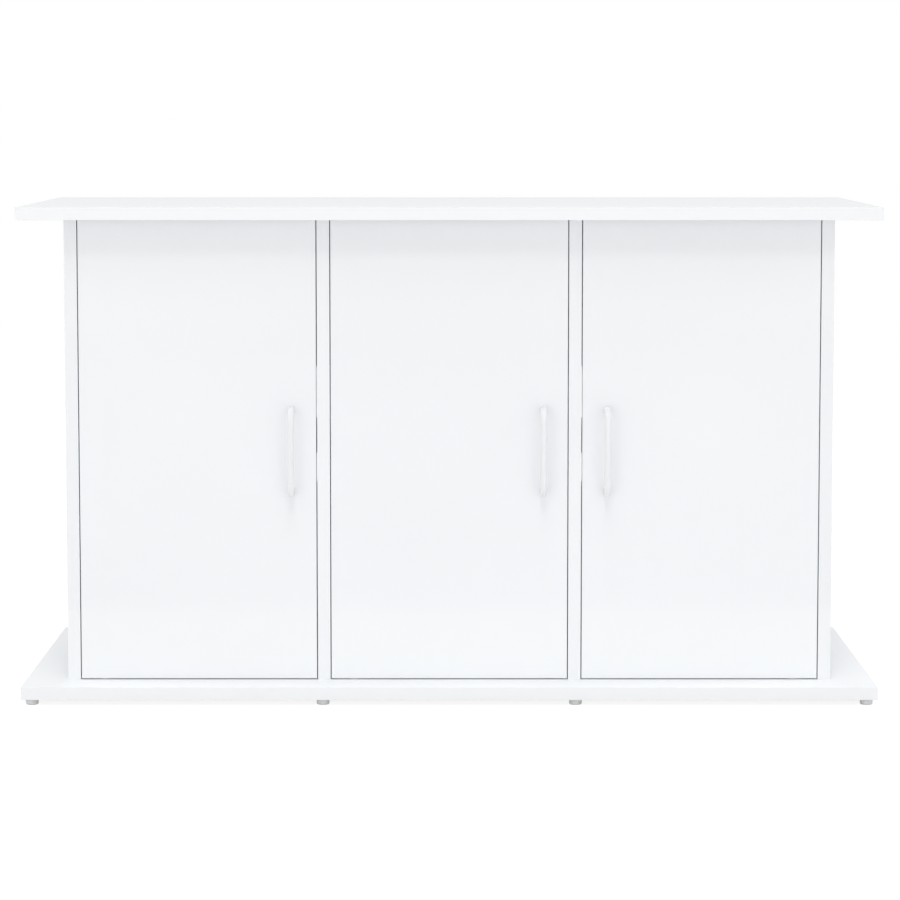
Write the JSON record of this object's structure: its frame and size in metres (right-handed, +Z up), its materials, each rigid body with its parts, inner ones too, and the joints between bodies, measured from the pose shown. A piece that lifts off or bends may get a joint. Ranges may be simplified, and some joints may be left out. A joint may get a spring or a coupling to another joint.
{
  "type": "aquarium stand cabinet",
  "caption": "Low rectangular aquarium stand cabinet with overhanging top and base panels, inset hinged doors with bar handles, shelves and an open cable band at the back.",
  "frame": {"origin": "on the floor, under the middle of the stand's outline", "axes": "+X to the right along the length, +Y to the back, +Z up; the doors face -Y"},
  "size_m": [1.01, 0.41, 0.587],
  "materials": {
    "gloss_white_board": "high-gloss white foil on chipboard, edge-banded",
    "satin_white_board": "satin white melamine on chipboard, edge-banded",
    "white_paint": "smooth white powder coat, semi-gloss",
    "grey_plastic": "moulded mid-grey plastic, matt",
    "white_nylon": "moulded natural white nylon",
    "zinc_plated_steel": "bright zinc plating",
    "zinc_diecast": "grey zinc die-casting",
    "ferrite": "dark grey ferrite, ground",
    "beech": "fluted beech, unfinished"
  },
  "bodies": {
    "cabinet": {"back_rail_lower": "satin_white_board", "back_rail_upper": "satin_white_board", "base_panel": "gloss_white_board", "cam_bolts": "zinc_plated_steel", "cam_locks": "zinc_diecast", "catch_body_left": "white_nylon", "catch_body_middle": "white_nylon", "catch_body_right": "white_nylon", "catch_magnet_left": "ferrite", "catch_magnet_middle": "ferrite", "catch_magnet_right": "ferrite", "catch_screws_left": "zinc_plated_steel", "catch_screws_middle": "zinc_plated_steel", "catch_screws_right": "zinc_plated_steel", "dowels": "beech", "foot_back_1": "grey_plastic", "foot_back_2": "grey_plastic", "foot_back_3": "grey_plastic", "foot_back_4": "grey_plastic", "foot_front_1": "grey_plastic", "foot_front_2": "grey_plastic", "foot_front_3": "grey_plastic", "foot_front_4": "grey_plastic", "partition_left": "gloss_white_board", "partition_right": "gloss_white_board", "pivot_bushes_left": "white_nylon", "pivot_bushes_middle": "white_nylon", "pivot_bushes_right": "white_nylon", "rail_screws": "zinc_plated_steel", "shelf_left": "satin_white_board", "shelf_middle": "satin_white_board", "shelf_right": "satin_white_board", "shelf_supports_left": "white_nylon", "shelf_supports_middle": "white_nylon", "shelf_supports_right": "white_nylon", "side_panel_left": "gloss_white_board", "side_panel_right": "gloss_white_board", "top_panel": "gloss_white_board"},
    "door_left": {"door_left": "gloss_white_board", "handle_screws_left": "zinc_plated_steel", "handle_left": "white_paint", "pivot_pins_left": "zinc_plated_steel", "strike_plate_left": "zinc_plated_steel", "strike_screw_left": "zinc_plated_steel"},
    "door_middle": {"door_middle": "gloss_white_board", "handle_screws_middle": "zinc_plated_steel", "handle_middle": "white_paint", "pivot_pins_middle": "zinc_plated_steel", "strike_plate_middle": "zinc_plated_steel", "strike_screw_middle": "zinc_plated_steel"},
    "door_right": {"door_right": "gloss_white_board", "handle_screws_right": "zinc_plated_steel", "handle_right": "white_paint", "pivot_pins_right": "zinc_plated_steel", "strike_plate_right": "zinc_plated_steel", "strike_screw_right": "zinc_plated_steel"}
  },
  "joints": [
    {"name": "door_left_hinge", "type": "hinge", "parent": "cabinet", "child": "door_left", "pos_m": [-0.41096, -0.1475, 0.297], "axis": [0, 0, -1], "range_deg": [0, 110]},
    {"name": "door_middle_hinge", "type": "hinge", "parent": "cabinet", "child": "door_middle", "pos_m": [-0.11263, -0.1475, 0.297], "axis": [0, 0, -1], "range_deg": [0, 110]},
    {"name": "door_right_hinge", "type": "hinge", "parent": "cabinet", "child": "door_right", "pos_m": [0.41096, -0.1475, 0.297], "axis": [0, 0, 1], "range_deg": [0, 110]}
  ]
}
